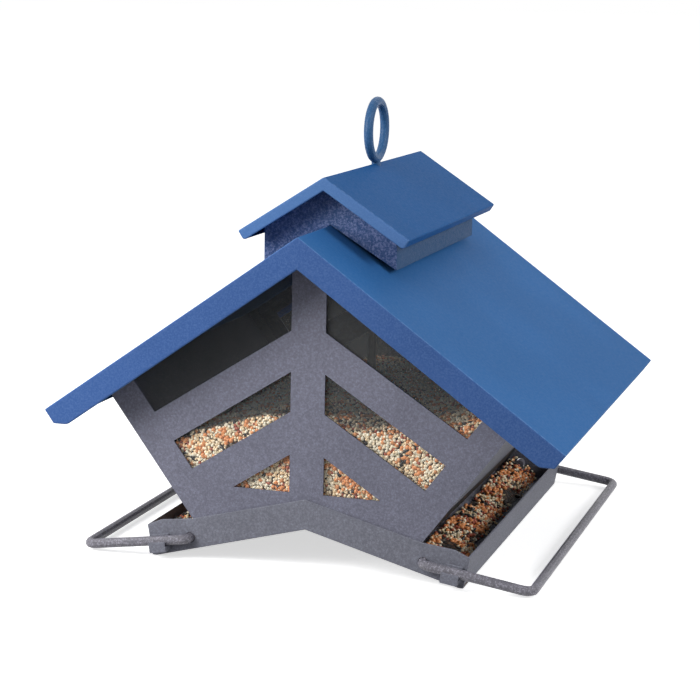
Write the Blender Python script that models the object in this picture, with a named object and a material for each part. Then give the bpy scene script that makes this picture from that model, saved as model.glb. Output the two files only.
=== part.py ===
"""Hanging chalet bird feeder in folded, powder-coated sheet steel.

Metres, +Z up, +X to the right, the front of the feeder towards -Y. The origin is on the ground
under the middle of the feeder, which stands on the outer bottom edges of its two trays.
"""

import math

import bmesh
import bpy
from mathutils import Matrix, Vector

MM = 0.001

# Stock and fits
SHEET = 1.2 * MM
PANE_THICKNESS = 1.5 * MM
SEAT_GAP = 0.3 * MM
FOLD_RADIUS = 0.8 * MM

# Base: an inverted V floor with low walls all round
BASE_DEPTH = 283 * MM
BASE_HALF_WIDTH = 104.5 * MM
BASE_SLOPE = 0.262
BASE_WALL_HEIGHT = 19.7 * MM
TRAY_FLARE = 3.6 * MM
TRAY_LIP_HEIGHT = 20 * MM
TRAY_END_HEIGHT = 24.2 * MM
TRAY_CORNER_CUT = 9.6 * MM
BASE_HEM = 3 * MM

# Gables: two flat panels that spread upwards, each with six cut-outs round a middle post
GABLE_FOOT_HALF_WIDTH = 77.4 * MM
GABLE_FOOT_HEIGHT = 27.2 * MM
GABLE_SIDE_SLOPE = 0.739
POST_WIDTH = 22.6 * MM
CUTOUT_SLOPE = 0.647
CUTOUT_MARGIN = 23.7 * MM
UPPER_SILL_HEIGHT = 162.2 * MM
MIDDLE_HEAD_HEIGHT = 135.8 * MM
MIDDLE_SILL_HEIGHT = 110.1 * MM
LOWER_HEAD_HEIGHT = 82.4 * MM
LOWER_SILL_HEIGHT = 50.4 * MM
UPPER_HEAD_DROP = 16 * MM

# Hopper walls and window panes
SEED_GATE_HEIGHT = 18 * MM
BAFFLE_SHOWS_BELOW = 47 * MM
BAFFLE_TOP_HEIGHT = 62 * MM
WALL_CORNER_STRIP = 0.8 * MM
PANE_GRIP = 9 * MM
PANE_TOP_DROP = 8 * MM

# Main roof
ROOF_HALF_WIDTH = 170 * MM
ROOF_DEPTH = 330 * MM
ROOF_SLOPE = 0.712
ROOF_RIDGE_HEIGHT = 217.2 * MM
ROOF_FASCIA = 20 * MM
ROOF_EAVE = 10.7 * MM
ROOF_CORNER_RADIUS = 7 * MM

# Cupola: an open box on the ridge with a small roof of its own
CUPOLA_HALF_WIDTH = 57 * MM
CUPOLA_DEPTH = 231 * MM
CUPOLA_SLOPE = 0.647
CUPOLA_RISE = 32.2 * MM
CUPOLA_FASCIA = 8.6 * MM
CUPOLA_EAVE = 6.2 * MM
CUPOLA_CORNER_RADIUS = 2 * MM
BOX_HALF_WIDTH = 44.6 * MM
BOX_DEPTH = 199 * MM
BOX_FOOT_SLOPE = 0.60

# Hanger: ring, coupling nut, tie rod, washer and nut on the middle axis
RING_OUTER_DIAMETER = 45 * MM
RING_WIRE = 6.4 * MM
RING_STEM = 6.2 * MM
TIE_ROD = 6 * MM
THREAD_GAP = 0.25 * MM
NUT_ACROSS_FLATS = 10 * MM
COUPLING_LENGTH = 18 * MM
BASE_NUT_LENGTH = 5 * MM
WASHER_DIAMETER = 16 * MM
WASHER_THICKNESS = 1.5 * MM
ROD_TAIL = 3 * MM
NUT_PASSAGE_GAP = 0.8 * MM

# Perches: bent rods that turn in the base's end walls and lie in four J-shaped rests
PERCH_ROD = 6.3 * MM
PERCH_PIVOT_X = 78.3 * MM
PERCH_PIVOT_Z = 14.3 * MM
PERCH_REACH = 70.85 * MM
PERCH_DROOP = 0.147
PERCH_HOOK_LENGTH = 6 * MM
HOOK_BEND = 4.4 * MM
PERCH_BEND = 7 * MM
PIVOT_GAP = 0.3 * MM
REST_LENGTH = 11.5 * MM
REST_X = 98 * MM
REST_FLOOR = 3.6 * MM
REST_BACK_HEIGHT = 3.6 * MM
REST_LIP_DROP = 0.2 * MM

# Seed
SEED_LEVEL_LEFT = 78 * MM
SEED_LEVEL_RIGHT = 107 * MM
SEED_CREST_X = 38 * MM
SEED_CREST_LEVEL = 90 * MM
SEED_DIP_X = 60 * MM
SEED_DIP_LEVEL = 89 * MM
TRAY_SEED_LEVEL = 10 * MM
TRAY_SEED_TOP = 16 * MM

ROUND_STEPS = 24

# Levels and planes that several pieces share
BASE_OUTER_Y = BASE_DEPTH / 2
BASE_INNER_Y = BASE_OUTER_Y - SHEET
GABLE_OUTER_Y = BASE_INNER_Y - SEAT_GAP
GABLE_INNER_Y = GABLE_OUTER_Y - SHEET
PANE_OUTER_Y = GABLE_INNER_Y - SEAT_GAP
PANE_INNER_Y = PANE_OUTER_Y - PANE_THICKNESS
FLANGE_OUTER_Y = PANE_INNER_Y - SEAT_GAP
FLANGE_INNER_Y = FLANGE_OUTER_Y - SHEET
BASE_APEX_HEIGHT = BASE_SLOPE * BASE_HALF_WIDTH
CUPOLA_RIDGE_HEIGHT = ROOF_RIDGE_HEIGHT + CUPOLA_RISE
PERCH_Y = BASE_OUTER_Y + SEAT_GAP + SHEET + SEAT_GAP + PERCH_ROD / 2


def along_slope(thickness, slope):
    """Height of a sheet of this thickness, measured straight down through its slope."""
    return thickness * math.hypot(1, slope)


def floor_top(x):
    return BASE_APEX_HEIGHT + along_slope(SHEET, BASE_SLOPE) - BASE_SLOPE * abs(x)


def roof_underside(x):
    return ROOF_RIDGE_HEIGHT - along_slope(SHEET, ROOF_SLOPE) - ROOF_SLOPE * abs(x)


def gable_edge(z, inset=0.0):
    """Half width of a gable at this height, less a horizontal inset."""
    return GABLE_FOOT_HALF_WIDTH + GABLE_SIDE_SLOPE * (z - GABLE_FOOT_HEIGHT) - inset


def seed_inset():
    """The seed lies inside the hopper wall and the baffle behind it."""
    return 2 * (along_slope(SHEET, GABLE_SIDE_SLOPE) + SEAT_GAP)


def edge_meets_line(inset, height, slope):
    """Where the gable's edge, moved in by inset, meets the line z = height - slope * x."""
    foot = gable_edge(0, inset)
    z = (height - slope * foot) / (1 + slope * GABLE_SIDE_SLOPE)
    return gable_edge(z, inset), z


def mirrored(right_side):
    """A closed outline from its right half, listed from the top middle to the bottom middle."""
    left_side = [(-x, z) for x, z in reversed(right_side) if abs(x) > 1e-9]
    return right_side + left_side


def meeting(p, along_p, q, along_q):
    """The point where two lines of the X-Z plane cross."""
    cross = along_p[0] * along_q[1] - along_p[1] * along_q[0]
    gap = (q[0] - p[0], q[1] - p[1])
    t = (gap[0] * along_q[1] - gap[1] * along_q[0]) / cross
    return p[0] + t * along_p[0], p[1] + t * along_p[1]


def rounded_corner(before, corner, after, radius, steps=5):
    """Points of the arc that replaces a corner of a path, for 2-D or 3-D points."""
    corner = Vector(corner)
    towards_before = (Vector(before) - corner).normalized()
    towards_after = (Vector(after) - corner).normalized()
    half_angle = towards_before.angle(towards_after) / 2
    bisector = (towards_before + towards_after).normalized()
    centre = corner + bisector * (radius / math.sin(half_angle))
    start = corner + towards_before * (radius / math.tan(half_angle)) - centre
    end = corner + towards_after * (radius / math.tan(half_angle)) - centre
    turn = start.angle(end)
    points = []
    for step in range(steps + 1):
        share = step / steps
        first = math.sin((1 - share) * turn) / math.sin(turn)
        second = math.sin(share * turn) / math.sin(turn)
        points.append(tuple(centre + start * first + end * second))
    return points


def finish_of(name, colour, roughness, metallic=0.0, alpha=1.0):
    material = bpy.data.materials.new(name)
    material.use_nodes = True
    shader = material.node_tree.nodes["Principled BSDF"]
    shader.inputs["Base Color"].default_value = (*colour, 1)
    shader.inputs["Roughness"].default_value = roughness
    shader.inputs["Metallic"].default_value = metallic
    shader.inputs["Alpha"].default_value = alpha
    return material


def solid(name, mesh, material=None):
    thing = bpy.data.objects.new(name, mesh)
    bpy.context.scene.collection.objects.link(thing)
    if material:
        thing.data.materials.append(material)
    return thing


def prism(name, outline, low, high, axis="Y"):
    """A closed outline of the X-Z plane pulled along Y, or of the Y-Z plane pulled along X."""
    shape = bmesh.new()
    if axis == "Y":
        start = [shape.verts.new((a, low, z)) for a, z in outline]
        travel = (0, high - low, 0)
    else:
        start = [shape.verts.new((low, a, z)) for a, z in outline]
        travel = (high - low, 0, 0)
    face = shape.faces.new(start)
    pulled = bmesh.ops.extrude_face_region(shape, geom=[face])["geom"]
    moved = [item for item in pulled if isinstance(item, bmesh.types.BMVert)]
    bmesh.ops.translate(shape, verts=moved, vec=travel)
    bmesh.ops.recalc_face_normals(shape, faces=shape.faces)
    mesh = bpy.data.meshes.new(name)
    shape.to_mesh(mesh)
    shape.free()
    return solid(name, mesh)


def cylinder(name, diameter, length, centre, axis="Z", sides=ROUND_STEPS):
    """A round or many-sided bar with its middle at centre."""
    turns = {
        "X": Matrix.Rotation(math.pi / 2, 4, "Y"),
        "Y": Matrix.Rotation(math.pi / 2, 4, "X"),
        "Z": Matrix.Identity(4),
    }
    shape = bmesh.new()
    bmesh.ops.create_cone(
        shape,
        cap_ends=True,
        segments=sides,
        radius1=diameter / 2,
        radius2=diameter / 2,
        depth=length,
        matrix=Matrix.Translation(centre) @ turns[axis],
    )
    mesh = bpy.data.meshes.new(name)
    shape.to_mesh(mesh)
    shape.free()
    return solid(name, mesh)


def settled(thing):
    """Turns an object's modifiers into plain mesh."""
    graph = bpy.context.evaluated_depsgraph_get()
    mesh = bpy.data.meshes.new_from_object(thing.evaluated_get(graph))
    thing.modifiers.clear()
    thing.data = mesh


def combine(thing, tool, operation):
    """Joins the tool to the thing, or cuts it away, and removes the tool."""
    boolean = thing.modifiers.new(operation.title(), "BOOLEAN")
    boolean.operation = operation
    boolean.solver = "EXACT"
    boolean.object = tool
    settled(thing)
    bpy.data.objects.remove(tool)


def cut(thing, tool):
    combine(thing, tool, "DIFFERENCE")


def join(thing, tool):
    combine(thing, tool, "UNION")


def soften(thing, width=FOLD_RADIUS):
    """Rounds the sharp outer edges, as a folded and coated sheet has them."""
    bevel = thing.modifiers.new("Folds", "BEVEL")
    bevel.width = width
    bevel.segments = 2
    bevel.limit_method = "ANGLE"
    bevel.angle_limit = math.radians(35)
    settled(thing)


def complete(thing, material):
    thing.data.materials.clear()
    thing.data.materials.append(material)
    thing.data.shade_smooth()
    thing.data.set_sharp_from_angle(angle=math.radians(35))
    return thing


def roof_shell(name, half_width, depth, slope, ridge, fascia, eave, corner_radius, hole):
    """A gable roof folded from sheet: two slopes, an eave flange on each side, a fascia at each end."""
    run, drop = 1 / math.hypot(1, slope), slope / math.hypot(1, slope)
    eave_top = (half_width, ridge - slope * half_width)
    eave_low = (eave_top[0] - eave * drop, eave_top[1] - eave * run)
    fascia_low = ((ridge - fascia - eave_low[1]) / slope, eave_low[1])
    corner = rounded_corner(eave_low, fascia_low, (0, ridge - fascia), corner_radius)
    outline = mirrored([(0, ridge), eave_top, eave_low, *corner, (0, ridge - fascia)])
    shell = prism(name, outline, -depth / 2, depth / 2)
    soften(shell)

    inner_edge = (eave_top[0] - SHEET * run, eave_top[1] + SHEET * drop)
    inner_top = (inner_edge[0] - SHEET * drop, inner_edge[1] - SHEET * run)
    past_eave = 2 * eave
    inner_low = (inner_edge[0] - past_eave * drop, inner_edge[1] - past_eave * run)
    under = mirrored([(0, ridge - along_slope(SHEET, slope)), inner_top, inner_low])
    inside = depth / 2 - SHEET
    cut(shell, prism(name + "_inside", under, -inside, inside))
    cut(shell, cylinder(name + "_hole", hole, 2 * fascia, (0, 0, ridge)))
    return shell


def base_outline():
    """The base's end walls, from the top middle round the right tray to the bottom middle."""
    top_middle = (0, BASE_APEX_HEIGHT + BASE_WALL_HEIGHT)
    gable_foot = meeting(
        top_middle,
        (1, -BASE_SLOPE),
        (gable_edge(0), 0),
        (GABLE_SIDE_SLOPE, 1),
    )
    lip = (BASE_HALF_WIDTH + TRAY_FLARE, TRAY_LIP_HEIGHT)
    shoulder = (lip[0] - TRAY_CORNER_CUT, TRAY_END_HEIGHT)
    hem = [(BASE_HALF_WIDTH, 0), (BASE_HALF_WIDTH - BASE_HEM, 0)]
    return mirrored([top_middle, gable_foot, shoulder, lip, *hem, (0, BASE_APEX_HEIGHT)])


def tray_lip_inner(z):
    """X of the outer tray wall's inner face at this height."""
    return BASE_HALF_WIDTH + TRAY_FLARE * z / TRAY_LIP_HEIGHT - SHEET


def make_base(material):
    base = prism("base_tray", base_outline(), -BASE_OUTER_Y, BASE_OUTER_Y)
    soften(base, FOLD_RADIUS / 2)
    floor_end = meeting(
        (0, floor_top(0)),
        (1, -BASE_SLOPE),
        (tray_lip_inner(0), 0),
        (TRAY_FLARE, TRAY_LIP_HEIGHT),
    )
    above = 2 * (BASE_APEX_HEIGHT + BASE_WALL_HEIGHT)
    hollow = mirrored([(0, above), (tray_lip_inner(above), above), floor_end, (0, floor_top(0))])
    cut(base, prism("base_hollow", hollow, -BASE_INNER_Y, BASE_INNER_Y))
    for side in (-1, 1):
        centre = (side * PERCH_PIVOT_X, 0, PERCH_PIVOT_Z)
        bore = PERCH_ROD + 2 * PIVOT_GAP
        cut(base, cylinder("pivot_bore", bore, 2 * BASE_DEPTH, centre, "Y"))
    apex = (0, 0, BASE_APEX_HEIGHT)
    cut(base, cylinder("rod_bore", TIE_ROD + 2 * THREAD_GAP, BASE_WALL_HEIGHT, apex))
    return complete(base, material)


def gable_outline(inset, foot_gap, top_gap):
    """A gable between the base's floor and the roof, moved in by these amounts."""
    top = roof_underside(0) - top_gap
    foot = floor_top(0) + foot_gap
    shoulder = edge_meets_line(inset, top, ROOF_SLOPE)
    heel = edge_meets_line(inset, foot, BASE_SLOPE)
    return mirrored([(0, top), shoulder, heel, (0, foot)])


def gable_cutouts():
    """The three cut-outs on the right of the post."""
    post = POST_WIDTH / 2
    head = ROOF_RIDGE_HEIGHT - UPPER_HEAD_DROP
    upper = [
        (post, UPPER_SILL_HEIGHT - CUTOUT_SLOPE * post),
        (post, head - ROOF_SLOPE * post),
        edge_meets_line(CUTOUT_MARGIN, head, ROOF_SLOPE),
        edge_meets_line(CUTOUT_MARGIN, UPPER_SILL_HEIGHT, CUTOUT_SLOPE),
    ]
    middle = [
        (post, MIDDLE_SILL_HEIGHT - CUTOUT_SLOPE * post),
        (post, MIDDLE_HEAD_HEIGHT - CUTOUT_SLOPE * post),
        edge_meets_line(CUTOUT_MARGIN, MIDDLE_HEAD_HEIGHT, CUTOUT_SLOPE),
        edge_meets_line(CUTOUT_MARGIN, MIDDLE_SILL_HEIGHT, CUTOUT_SLOPE),
    ]
    tip = (LOWER_HEAD_HEIGHT - LOWER_SILL_HEIGHT) / CUTOUT_SLOPE
    lower = [
        (post, LOWER_SILL_HEIGHT),
        (post, LOWER_HEAD_HEIGHT - CUTOUT_SLOPE * post),
        (tip, LOWER_SILL_HEIGHT),
    ]
    return upper, middle, lower


def make_gable(name, side, material):
    faces = sorted((side * GABLE_OUTER_Y, side * GABLE_INNER_Y))
    gable = prism(name, gable_outline(0, SEAT_GAP, SEAT_GAP), *faces)
    for cutout in gable_cutouts():
        for hand in (-1, 1):
            opening = [(hand * x, z) for x, z in cutout]
            cut(gable, prism("cutout", opening, faces[0] - SHEET, faces[1] + SHEET))
    return complete(gable, material)


def make_pane(name, side, material):
    inset = along_slope(SHEET, GABLE_SIDE_SLOPE) + 2 * SEAT_GAP
    faces = sorted((side * PANE_OUTER_Y, side * PANE_INNER_Y))
    return complete(prism(name, gable_outline(inset, SEAT_GAP, PANE_TOP_DROP), *faces), material)


def make_hopper_wall(name, side, material):
    """A sloping side of the hopper, with a flange at each end that keeps a pane in its place."""
    width = along_slope(SHEET, GABLE_SIDE_SLOPE)
    top = roof_underside(0) - SEAT_GAP

    def strip(inset_out, inset_in):
        foot = SEED_GATE_HEIGHT
        corners = [
            edge_meets_line(inset_out, top, ROOF_SLOPE),
            (gable_edge(foot, inset_out), foot),
            (gable_edge(foot, inset_in), foot),
            edge_meets_line(inset_in, top, ROOF_SLOPE),
        ]
        return [(side * x, z) for x, z in corners]

    wall = prism(name, strip(0, width), -PANE_OUTER_Y, PANE_OUTER_Y)
    for end in (-1, 1):
        faces = sorted((end * FLANGE_OUTER_Y, end * FLANGE_INNER_Y))
        join(wall, prism("flange", strip(width / 2, width + PANE_GRIP), *faces))
    below = BAFFLE_SHOWS_BELOW
    notch = [
        (side * gable_edge(below, -width), below),
        (side * gable_edge(-below, -width), -below),
        (side * gable_edge(-below, width + PANE_GRIP), -below),
        (side * gable_edge(below, width + PANE_GRIP), below),
    ]
    reach = FLANGE_INNER_Y - WALL_CORNER_STRIP
    cut(wall, prism("notch", notch, -reach, reach))
    return complete(wall, material)


def make_baffle(name, side, material):
    """A plate behind the notch in the hopper wall; the seed runs out under it."""
    outer = along_slope(SHEET, GABLE_SIDE_SLOPE) + SEAT_GAP
    inner = outer + along_slope(SHEET, GABLE_SIDE_SLOPE)
    corners = [
        (gable_edge(BAFFLE_TOP_HEIGHT, outer), BAFFLE_TOP_HEIGHT),
        (gable_edge(SEED_GATE_HEIGHT, outer), SEED_GATE_HEIGHT),
        (gable_edge(SEED_GATE_HEIGHT, inner), SEED_GATE_HEIGHT),
        (gable_edge(BAFFLE_TOP_HEIGHT, inner), BAFFLE_TOP_HEIGHT),
    ]
    reach = FLANGE_INNER_Y - SEAT_GAP
    return complete(prism(name, [(side * x, z) for x, z in corners], -reach, reach), material)


def make_cupola_box(material):
    """Four walls, notched below to stand on the ridge and cut above to fit under the small roof."""
    head = CUPOLA_RIDGE_HEIGHT - along_slope(SHEET, CUPOLA_SLOPE) - SEAT_GAP
    foot = ROOF_RIDGE_HEIGHT + SEAT_GAP
    outline = mirrored(
        [
            (0, head),
            (BOX_HALF_WIDTH, head - CUPOLA_SLOPE * BOX_HALF_WIDTH),
            (BOX_HALF_WIDTH, foot - BOX_FOOT_SLOPE * BOX_HALF_WIDTH),
            (0, foot),
        ]
    )
    box = prism("cupola_box", outline, -BOX_DEPTH / 2, BOX_DEPTH / 2)
    soften(box, FOLD_RADIUS / 2)
    inner_x, inner_y = BOX_HALF_WIDTH - SHEET, BOX_DEPTH / 2 - SHEET
    low, high = foot - CUPOLA_RIDGE_HEIGHT, 2 * head
    room = [(inner_x, high), (inner_x, low), (-inner_x, low), (-inner_x, high)]
    cut(box, prism("box_room", room, -inner_y, inner_y))
    return complete(box, material)


def coupling_top():
    """The nut's corners stay clear of the small roof's slopes."""
    corner = NUT_ACROSS_FLATS / math.sqrt(3)
    return CUPOLA_RIDGE_HEIGHT - along_slope(SHEET, CUPOLA_SLOPE) - SEAT_GAP - CUPOLA_SLOPE * corner


def make_ring(material):
    """The hanging ring, which stands in the plane of the ridge, and its threaded stem."""
    ring_radius = (RING_OUTER_DIAMETER - RING_WIRE) / 2
    centre = CUPOLA_RIDGE_HEIGHT + RING_OUTER_DIAMETER / 2
    bpy.ops.mesh.primitive_torus_add(
        major_radius=ring_radius,
        minor_radius=RING_WIRE / 2,
        major_segments=40,
        minor_segments=14,
        location=(0, 0, centre),
        rotation=(0, math.pi / 2, 0),
    )
    ring = bpy.context.object
    ring.name = "hanging_ring"
    ring.data.transform(ring.matrix_basis)
    ring.matrix_basis.identity()
    stem_top = centre - ring_radius
    stem_foot = coupling_top() - COUPLING_LENGTH / 2 + SEAT_GAP
    middle = (0, 0, (stem_top + stem_foot) / 2)
    join(ring, cylinder("stem", RING_STEM, stem_top - stem_foot, middle))
    return complete(ring, material)


def make_nut(name, low, length, material):
    middle = (0, 0, low + length / 2)
    corners = 2 * NUT_ACROSS_FLATS / math.sqrt(3)
    nut = cylinder(name, corners, length, middle, sides=6)
    bore = max(TIE_ROD, RING_STEM) + 2 * THREAD_GAP
    cut(nut, cylinder("nut_bore", bore, 2 * length, middle))
    return complete(nut, material)


def washer_top():
    """A flat washer touches the inverted V on both sides of its apex."""
    return BASE_APEX_HEIGHT - BASE_SLOPE * WASHER_DIAMETER / 2 - SEAT_GAP


def make_fasteners(steel):
    coupling_foot = coupling_top() - COUPLING_LENGTH
    make_nut("coupling_nut", coupling_foot, COUPLING_LENGTH, steel)
    washer_foot = washer_top() - WASHER_THICKNESS
    middle = (0, 0, washer_foot + WASHER_THICKNESS / 2)
    washer = cylinder("base_washer", WASHER_DIAMETER, WASHER_THICKNESS, middle)
    cut(washer, cylinder("washer_bore", TIE_ROD + 2 * THREAD_GAP, WASHER_DIAMETER, middle))
    complete(washer, steel)
    nut_foot = washer_foot - SEAT_GAP - BASE_NUT_LENGTH
    make_nut("base_nut", nut_foot, BASE_NUT_LENGTH, steel)
    rod_foot = nut_foot - ROD_TAIL
    rod_top = coupling_foot + COUPLING_LENGTH / 2 - SEAT_GAP
    rod = cylinder("tie_rod", TIE_ROD, rod_top - rod_foot, (0, 0, (rod_top + rod_foot) / 2))
    complete(rod, steel)


def make_perch(name, side, material):
    """One rod, bent twice at the front and twice at the back, turning about its two short hooks."""
    pivot = Vector((side * PERCH_PIVOT_X, 0, PERCH_PIVOT_Z))
    hook_end = BASE_INNER_Y - PERCH_HOOK_LENGTH
    outer = Vector((side * PERCH_REACH, 0, -PERCH_DROOP * PERCH_REACH))
    corners = [
        Vector((0, -hook_end, 0)),
        Vector((0, -PERCH_Y, 0)),
        outer + Vector((0, -PERCH_Y, 0)),
        outer + Vector((0, PERCH_Y, 0)),
        Vector((0, PERCH_Y, 0)),
        Vector((0, hook_end, 0)),
    ]
    bends = [HOOK_BEND, PERCH_BEND, PERCH_BEND, HOOK_BEND]
    path = [tuple(corners[0])]
    for i, bend in enumerate(bends):
        path += rounded_corner(corners[i], corners[i + 1], corners[i + 2], bend, steps=6)
    path.append(tuple(corners[-1]))

    curve = bpy.data.curves.new(name, "CURVE")
    curve.dimensions = "3D"
    curve.bevel_depth = PERCH_ROD / 2
    curve.bevel_resolution = 3
    curve.use_fill_caps = True
    spline = curve.splines.new("POLY")
    spline.points.add(len(path) - 1)
    for point, place in zip(spline.points, path):
        point.co = (*place, 1)
    curve.materials.append(material)
    perch = bpy.data.objects.new(name, curve)
    bpy.context.scene.collection.objects.link(perch)
    perch.location = pivot
    return perch


def make_rest(name, side, end, material):
    """A J-shaped block on the base's end wall: the perch lies in its channel, behind the lip."""
    radius = PERCH_ROD / 2
    back_out = SEAT_GAP + SHEET
    lip_in = back_out + 2 * SEAT_GAP + PERCH_ROD
    lip_out = lip_in + SHEET
    channel = -radius - SEAT_GAP
    bottom = channel - REST_FLOOR
    outline = [
        (SEAT_GAP, bottom),
        (lip_out, bottom),
        (lip_out, -REST_LIP_DROP),
        (lip_in, -REST_LIP_DROP),
        (lip_in, channel),
        (back_out, channel),
        (back_out, REST_BACK_HEIGHT),
        (SEAT_GAP, REST_BACK_HEIGHT),
    ]
    outline = [(end * y, z) for y, z in outline]
    rest = prism(name, outline, -REST_LENGTH / 2, REST_LENGTH / 2, axis="X")
    soften(rest, FOLD_RADIUS / 2)
    drop = PERCH_DROOP * (REST_X - PERCH_PIVOT_X)
    place = Matrix.Translation((side * REST_X, end * BASE_OUTER_Y, PERCH_PIVOT_Z - drop))
    rest.data.transform(place @ Matrix.Rotation(side * math.atan(PERCH_DROOP), 4, "Y"))
    return complete(rest, material)


def make_hopper_seed(material):
    """The seed lies higher on the right, and its middle dips a little round the tie rod."""
    inset = seed_inset()
    gate = gable_edge(SEED_GATE_HEIGHT, inset)
    outline = [
        (gable_edge(SEED_LEVEL_RIGHT, inset), SEED_LEVEL_RIGHT),
        (SEED_DIP_X, SEED_DIP_LEVEL),
        (-SEED_CREST_X, SEED_CREST_LEVEL),
        (-gable_edge(SEED_LEVEL_LEFT, inset), SEED_LEVEL_LEFT),
        (-gate, SEED_GATE_HEIGHT),
        (-gate, floor_top(gate) + SEAT_GAP),
        (0, floor_top(0) + SEAT_GAP),
        (gate, floor_top(gate) + SEAT_GAP),
        (gate, SEED_GATE_HEIGHT),
    ]
    reach = FLANGE_INNER_Y - SEAT_GAP
    seed = prism("hopper_seed", outline, -reach, reach)
    cut(seed, cylinder("seed_bore", TIE_ROD + 2 * SEAT_GAP, 2 * ROOF_RIDGE_HEIGHT, (0, 0, 0)))
    return complete(seed, material)


def make_tray_seed(name, side, material):
    inner = gable_edge(TRAY_SEED_TOP) + SEAT_GAP
    outer_low = tray_lip_inner(0) - SEAT_GAP
    outer_top = tray_lip_inner(TRAY_SEED_LEVEL) - SEAT_GAP
    outline = [
        (inner, TRAY_SEED_TOP),
        (inner, floor_top(inner) + SEAT_GAP),
        (outer_low, floor_top(outer_low) + SEAT_GAP),
        (outer_top, TRAY_SEED_LEVEL),
    ]
    outline = [(side * x, z) for x, z in outline]
    reach = BASE_INNER_Y - SEAT_GAP
    seed = prism(name, outline, -reach, reach)
    for end in (-1, 1):
        depth = PERCH_HOOK_LENGTH + SHEET
        centre = (side * PERCH_PIVOT_X, end * (BASE_INNER_Y - depth / 2), PERCH_PIVOT_Z)
        cut(seed, cylinder("hook_room", PERCH_ROD + 2 * PIVOT_GAP, depth + SHEET, centre, "Y"))
    return complete(seed, material)


def build():
    for thing in list(bpy.data.objects):
        bpy.data.objects.remove(thing)

    blue = (0.045, 0.13, 0.36)
    grey = (0.10, 0.10, 0.125)
    dark = (0.022, 0.023, 0.026)
    straw = (0.45, 0.27, 0.12)
    make_base(finish_of("base_grey", grey, 0.6))
    for name, end in (("front", -1), ("back", 1)):
        make_gable(name + "_gable", end, finish_of(name + "_gable_grey", grey, 0.6))
        clear = finish_of(name + "_clear", (0.8, 0.82, 0.82), 0.08, alpha=0.35)
        make_pane(name + "_window", end, clear)
    for name, side in (("left", -1), ("right", 1)):
        wall_grey = finish_of(name + "_wall_grey", grey, 0.6)
        make_hopper_wall(name + "_hopper_wall", side, wall_grey)
        make_baffle(name + "_seed_baffle", side, finish_of(name + "_baffle_dark", dark, 0.6))
        make_perch(name + "_perch", side, finish_of(name + "_perch_grey", (0.19, 0.19, 0.23), 0.55))
        for place, end in (("front", -1), ("back", 1)):
            full_name = name + "_" + place + "_rest"
            make_rest(full_name, side, end, finish_of(full_name + "_grey", grey, 0.6))
        make_tray_seed(name + "_tray_seed", side, finish_of(name + "_seed", straw, 0.8))
    make_hopper_seed(finish_of("hopper_seed_mix", straw, 0.8))

    nut_corners = 2 * NUT_ACROSS_FLATS / math.sqrt(3)
    main_roof = roof_shell(
        "main_roof",
        ROOF_HALF_WIDTH,
        ROOF_DEPTH,
        ROOF_SLOPE,
        ROOF_RIDGE_HEIGHT,
        ROOF_FASCIA,
        ROOF_EAVE,
        ROOF_CORNER_RADIUS,
        nut_corners + 2 * NUT_PASSAGE_GAP,
    )
    complete(main_roof, finish_of("roof_blue", blue, 0.45))
    make_cupola_box(finish_of("cupola_box_blue", (0.11, 0.15, 0.28), 0.6))
    cupola_roof = roof_shell(
        "cupola_roof",
        CUPOLA_HALF_WIDTH,
        CUPOLA_DEPTH,
        CUPOLA_SLOPE,
        CUPOLA_RIDGE_HEIGHT,
        CUPOLA_FASCIA,
        CUPOLA_EAVE,
        CUPOLA_CORNER_RADIUS,
        RING_STEM + 2 * SEAT_GAP,
    )
    complete(cupola_roof, finish_of("cupola_roof_blue", blue, 0.45))
    make_ring(finish_of("ring_blue", blue, 0.4))
    make_fasteners(finish_of("zinc_steel", (0.55, 0.55, 0.53), 0.35, metallic=1.0))


build()
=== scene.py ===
"""Looks of the hanging chalet bird feeder: its coats, panes and seed, and the stage around it."""

import math

import bmesh
import bpy
import numpy as np
from mathutils import Matrix, Vector

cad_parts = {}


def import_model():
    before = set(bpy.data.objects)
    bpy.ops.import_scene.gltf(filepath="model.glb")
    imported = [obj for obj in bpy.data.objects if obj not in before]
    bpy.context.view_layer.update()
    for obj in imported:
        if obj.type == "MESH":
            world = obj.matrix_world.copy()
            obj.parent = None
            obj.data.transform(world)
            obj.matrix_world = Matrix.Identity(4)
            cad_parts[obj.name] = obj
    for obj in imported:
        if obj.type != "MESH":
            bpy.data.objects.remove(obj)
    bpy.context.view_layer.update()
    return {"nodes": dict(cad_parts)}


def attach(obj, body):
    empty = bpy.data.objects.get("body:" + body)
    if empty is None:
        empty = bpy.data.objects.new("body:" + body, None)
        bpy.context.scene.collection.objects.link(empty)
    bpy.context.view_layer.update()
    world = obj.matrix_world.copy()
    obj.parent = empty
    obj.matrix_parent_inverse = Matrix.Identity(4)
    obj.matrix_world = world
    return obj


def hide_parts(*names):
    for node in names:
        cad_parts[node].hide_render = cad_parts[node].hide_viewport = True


MM = 0.001

# Camera, solved from the photograph's edges
CAMERA_PLACE = Vector((0.38275, -1.29118, 0.36799))
CAMERA_AZIMUTH = math.radians(17.16)
CAMERA_ELEVATION = math.radians(10.47)
CAMERA_ROLL = math.radians(1.13)
CAMERA_LENS = 101.4
CAMERA_SENSOR = 36

# The stage: strength of the sky as light, and as seen right through both panes, where it is dimmed
# as painted shade so that the hopper looks dark inside
SKY_LIGHT = 0.42
PAINTED_SHADE_THROUGH_PANES = 0.012
PANE_FACES = 2
FLOOR_TONE = 0.9
FLOOR_GLOW = 0.63
FLOOR_BOUNCE = 0.3
FLOOR_REACH = 30.0
FLOOR_DROP = 0.5 * MM

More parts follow.
